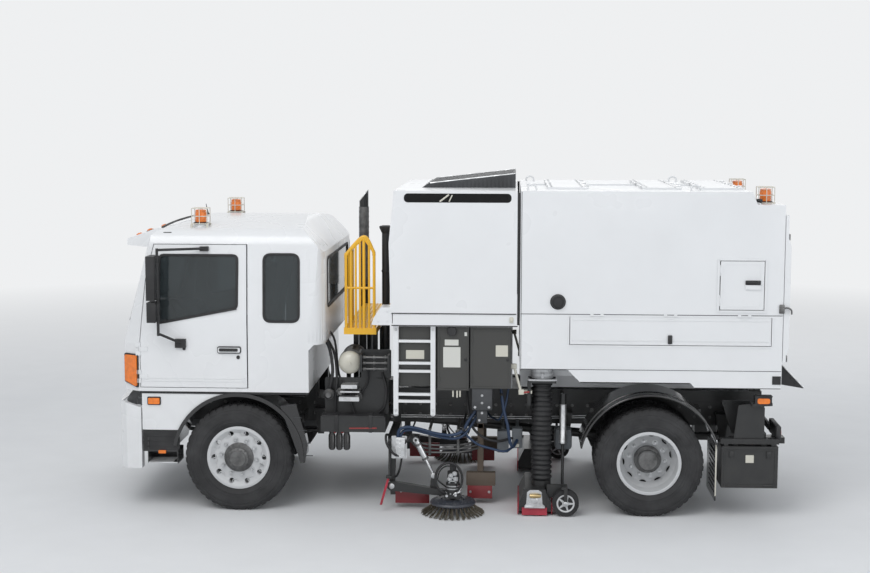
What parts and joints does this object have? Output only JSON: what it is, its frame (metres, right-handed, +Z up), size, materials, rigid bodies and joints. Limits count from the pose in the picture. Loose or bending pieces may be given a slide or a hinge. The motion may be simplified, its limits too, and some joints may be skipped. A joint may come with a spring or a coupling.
{
  "type": "street sweeper truck",
  "caption": "Two-axle cab-over truck with a suction road-sweeping body, channel brushes and a rear-tipping hopper",
  "frame": {"origin": "on the ground, half way along the truck and on its centreline", "axes": "X to the rear of the truck, Y to its right-hand side, Z up"},
  "size_m": [6.5, 2.9098, 3.17],
  "materials": {
    "frame_black": "satin paint",
    "engine_grey": "cast, painted",
    "wheel_silver": "satin paint",
    "tyre": "moulded",
    "cab_white": "gloss paint",
    "rail_yellow": "gloss paint",
    "glass": "tinted",
    "trim_black": "grained",
    "trim_grey": "grained",
    "body_white": "gloss paint",
    "cabinet_grey": "satin paint",
    "gear_red": "satin paint",
    "brush_steel": "worn paint",
    "rod_chrome": "polished",
    "gear_black": "satin paint",
    "castor_rubber": "moulded",
    "hose_rubber": "corrugated"
  },
  "bodies": {
    "truck": {"chassis_frame": "frame_black", "front_axle": "frame_black", "rear_axle": "frame_black", "leaf_springs": "frame_black", "engine": "engine_grey", "cab_roof": "cab_white", "cab_floor": "cab_white", "cab_front": "cab_white", "cab_walls": "cab_white", "cab_glass": "glass", "cab_interior": "trim_grey", "bumper": "cab_white", "wheel_arches": "trim_black", "catwalk": "rail_yellow", "stacks": "frame_black", "tanks_and_boxes": "frame_black", "subframe": "frame_black", "canopy": "body_white", "auxiliary_engine": "engine_grey", "cabinets": "cabinet_grey", "ladders": "body_white", "toolboxes": "frame_black", "hitch": "frame_black", "gear_carrier": "frame_black", "hose_left": "hose_rubber", "hose_right": "hose_rubber"},
    "hopper": {"hopper_body": "body_white"},
    "tailgate": {"tailgate": "body_white"},
    "steer_left": {"knuckle_left": "frame_black"},
    "front_wheel_left": {"rim_front_left": "wheel_silver", "tyre_front_left": "tyre"},
    "rear_wheels_left": {"rims_rear_left": "wheel_silver", "tyres_rear_left": "tyre"},
    "door_left": {"door_left": "cab_white", "door_glass_left": "glass", "mirror_left": "trim_black"},
    "locker_flap_left": {"locker_flap_left": "body_white"},
    "hatch_left": {"hatch_left": "body_white"},
    "brush_arm_left": {"brush_arm_left": "gear_red"},
    "brush_left": {"brush_left": "brush_steel"},
    "lift_barrel_left": {"lift_barrel_left": "frame_black"},
    "lift_rod_left": {"lift_rod_left": "rod_chrome"},
    "nozzle_left": {"nozzle_left": "gear_black"},
    "castor_left": {"castor_left": "castor_rubber"},
    "steer_right": {"knuckle_right": "frame_black"},
    "front_wheel_right": {"rim_front_right": "wheel_silver", "tyre_front_right": "tyre"},
    "rear_wheels_right": {"rims_rear_right": "wheel_silver", "tyres_rear_right": "tyre"},
    "door_right": {"door_right": "cab_white", "door_glass_right": "glass", "mirror_right": "trim_black"},
    "locker_flap_right": {"locker_flap_right": "body_white"},
    "hatch_right": {"hatch_right": "body_white"},
    "brush_arm_right": {"brush_arm_right": "gear_red"},
    "brush_right": {"brush_right": "brush_steel"},
    "lift_barrel_right": {"lift_barrel_right": "frame_black"},
    "lift_rod_right": {"lift_rod_right": "rod_chrome"},
    "nozzle_right": {"nozzle_right": "gear_black"},
    "castor_right": {"castor_right": "castor_rubber"}
  },
  "joints": [
    {"name": "steer_left", "type": "hinge", "parent": "truck", "child": "steer_left", "pos_m": [-2.045, -0.905, 0.506], "axis": [0, 0, 1], "range_deg": [-35, 35]},
    {"name": "front_wheel_spin_left", "type": "hinge", "parent": "steer_left", "child": "front_wheel_left", "pos_m": [-2.045, -1.062, 0.506], "axis": [0, 1, 0], "continuous": true},
    {"name": "rear_wheel_spin_left", "type": "hinge", "parent": "truck", "child": "rear_wheels_left", "pos_m": [1.805, -0.926, 0.506], "axis": [0, 1, 0], "continuous": true},
    {"name": "door_hinge_left", "type": "hinge", "parent": "truck", "child": "door_left", "pos_m": [-2.958, -1.203, 1.42], "axis": [0, 0, 1], "range_deg": [-70, 0]},
    {"name": "locker_hinge_left", "type": "hinge", "parent": "hopper", "child": "locker_flap_left", "pos_m": [1.97, -1.2523, 1.897], "axis": [1, 0, 0], "range_deg": [-100, 0]},
    {"name": "hatch_hinge_left", "type": "hinge", "parent": "hopper", "child": "hatch_left", "pos_m": [2.408, -1.2523, 2.184], "axis": [0, 0, 1], "range_deg": [-120, 0]},
    {"name": "brush_arm_lift_left", "type": "hinge", "parent": "truck", "child": "brush_arm_left", "pos_m": [-0.6, -1.09, 0.24], "axis": [0, -1, 0], "range_deg": [0, 18]},
    {"name": "brush_spin_left", "type": "hinge", "parent": "brush_arm_left", "child": "brush_left", "pos_m": [-0.02, -1.15, 0.11], "axis": [0, 0, 1], "continuous": true},
    {"name": "lift_barrel_swing_left", "type": "hinge", "parent": "truck", "child": "lift_barrel_left", "pos_m": [-0.373, -1.09, 0.683], "axis": [0, -1, 0], "range_deg": [-1, 4]},
    {"name": "lift_rod_slide_left", "type": "slide", "parent": "lift_barrel_left", "child": "lift_rod_left", "axis": [0.4472, 0, -0.8944], "range_m": [-0.14, 0]},
    {"name": "nozzle_lift_left", "type": "slide", "parent": "truck", "child": "nozzle_left", "axis": [0, 0, 1], "range_m": [0, 0.15], "deforming": ["hose_left"]},
    {"name": "castor_spin_left", "type": "hinge", "parent": "nozzle_left", "child": "castor_left", "pos_m": [1.034, -1.2, 0.128], "axis": [0, 1, 0], "continuous": true},
    {"name": "steer_right", "type": "hinge", "parent": "truck", "child": "steer_right", "pos_m": [-2.045, 0.905, 0.506], "axis": [0, 0, 1], "range_deg": [-35, 35]},
    {"name": "front_wheel_spin_right", "type": "hinge", "parent": "steer_right", "child": "front_wheel_right", "pos_m": [-2.045, 1.062, 0.506], "axis": [0, 1, 0], "continuous": true},
    {"name": "rear_wheel_spin_right", "type": "hinge", "parent": "truck", "child": "rear_wheels_right", "pos_m": [1.805, 0.926, 0.506], "axis": [0, 1, 0], "continuous": true},
    {"name": "door_hinge_right", "type": "hinge", "parent": "truck", "child": "door_right", "pos_m": [-2.958, 1.203, 1.42], "axis": [0, 0, 1], "range_deg": [0, 70]},
    {"name": "locker_hinge_right", "type": "hinge", "parent": "hopper", "child": "locker_flap_right", "pos_m": [1.97, 1.2523, 1.897], "axis": [1, 0, 0], "range_deg": [0, 100]},
    {"name": "hatch_hinge_right", "type": "hinge", "parent": "hopper", "child": "hatch_right", "pos_m": [2.408, 1.2523, 2.184], "axis": [0, 0, 1], "range_deg": [0, 120]},
    {"name": "brush_arm_lift_right", "type": "hinge", "parent": "truck", "child": "brush_arm_right", "pos_m": [-0.6, 1.09, 0.24], "axis": [0, -1, 0], "range_deg": [0, 18]},
    {"name": "brush_spin_right", "type": "hinge", "parent": "brush_arm_right", "child": "brush_right", "pos_m": [-0.02, 1.15, 0.11], "axis": [0, 0, 1], "continuous": true},
    {"name": "lift_barrel_swing_right", "type": "hinge", "parent": "truck", "child": "lift_barrel_right", "pos_m": [-0.373, 1.09, 0.683], "axis": [0, -1, 0], "range_deg": [-1, 4]},
    {"name": "lift_rod_slide_right", "type": "slide", "parent": "lift_barrel_right", "child": "lift_rod_right", "axis": [0.4472, 0, -0.8944], "range_m": [-0.14, 0]},
    {"name": "nozzle_lift_right", "type": "slide", "parent": "truck", "child": "nozzle_right", "axis": [0, 0, 1], "range_m": [0, 0.15], "deforming": ["hose_right"]},
    {"name": "castor_spin_right", "type": "hinge", "parent": "nozzle_right", "child": "castor_right", "pos_m": [1.034, 1.2, 0.128], "axis": [0, 1, 0], "continuous": true},
    {"name": "hopper_tip", "type": "hinge", "parent": "truck", "child": "hopper", "pos_m": [2.89, 0, 1.13], "axis": [0, 1, 0], "range_deg": [0, 50]},
    {"name": "tailgate_hinge", "type": "hinge", "parent": "hopper", "child": "tailgate", "pos_m": [3.011, 0, 2.86], "axis": [0, -1, 0], "range_deg": [0, 80]}
  ],
  "couplings": [
    {"joint": "lift_barrel_swing_left", "follows": "brush_arm_lift_left", "ratio": 0.1},
    {"joint": "lift_rod_slide_left", "follows": "brush_arm_lift_left", "m_per_rad": -0.407},
    {"joint": "lift_barrel_swing_right", "follows": "brush_arm_lift_right", "ratio": 0.1},
    {"joint": "lift_rod_slide_right", "follows": "brush_arm_lift_right", "m_per_rad": -0.407},
    {"joint": "steer_right", "follows": "steer_left", "ratio": 1}
  ]
}
